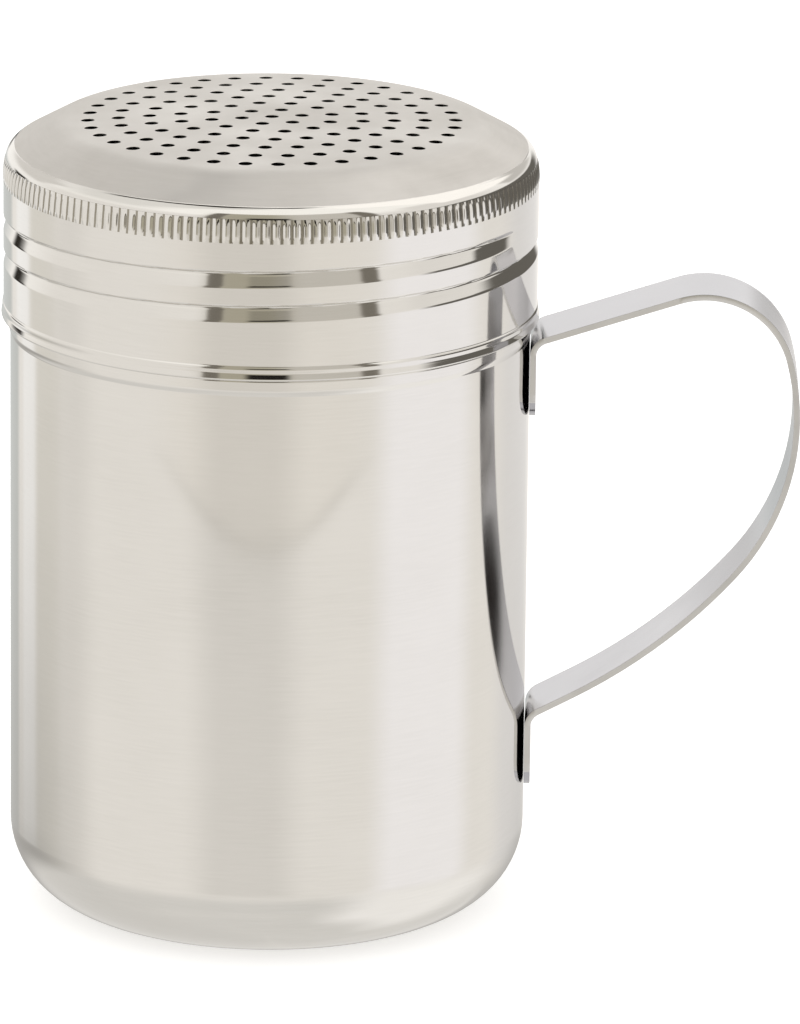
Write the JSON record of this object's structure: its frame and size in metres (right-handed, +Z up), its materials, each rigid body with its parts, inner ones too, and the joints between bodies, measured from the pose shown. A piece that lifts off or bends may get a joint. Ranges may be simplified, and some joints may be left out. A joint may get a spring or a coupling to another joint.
{
  "type": "spice shaker",
  "caption": "Stainless steel spice shaker: a drawn cup with a strap handle and a perforated, knurled screw lid that turns and lifts off.",
  "frame": {"origin": "on the cup's axis, in the plane of its flat base", "axes": "+Z up along the cup's axis, +X towards the handle"},
  "size_m": [0.1049, 0.0706, 0.1062],
  "materials": {
    "polished_steel": "mirror polished drawn stainless steel",
    "strap_steel": "polished stainless steel strip",
    "lid_steel": "satin crown and polished skirt, pressed stainless steel"
  },
  "bodies": {
    "cup_with_handle": {"cup": "polished_steel", "handle": "strap_steel"},
    "hem_ring": {"lid_hem": "lid_steel"},
    "lid_shell": {"lid": "lid_steel"}
  },
  "joints": [
    {"name": "lid_lift", "type": "slide", "parent": "cup_with_handle", "child": "hem_ring", "axis": [0, 0, 1], "range_m": [0, 0.027]},
    {"name": "lid_turn", "type": "hinge", "parent": "hem_ring", "child": "lid_shell", "pos_m": [0, 0, 0.09], "axis": [0, 0, 1], "range_deg": [0, 2160]}
  ],
  "couplings": [
    {"joint": "lid_lift", "follows": "lid_turn", "m_per_rad": 0.0007162}
  ]
}
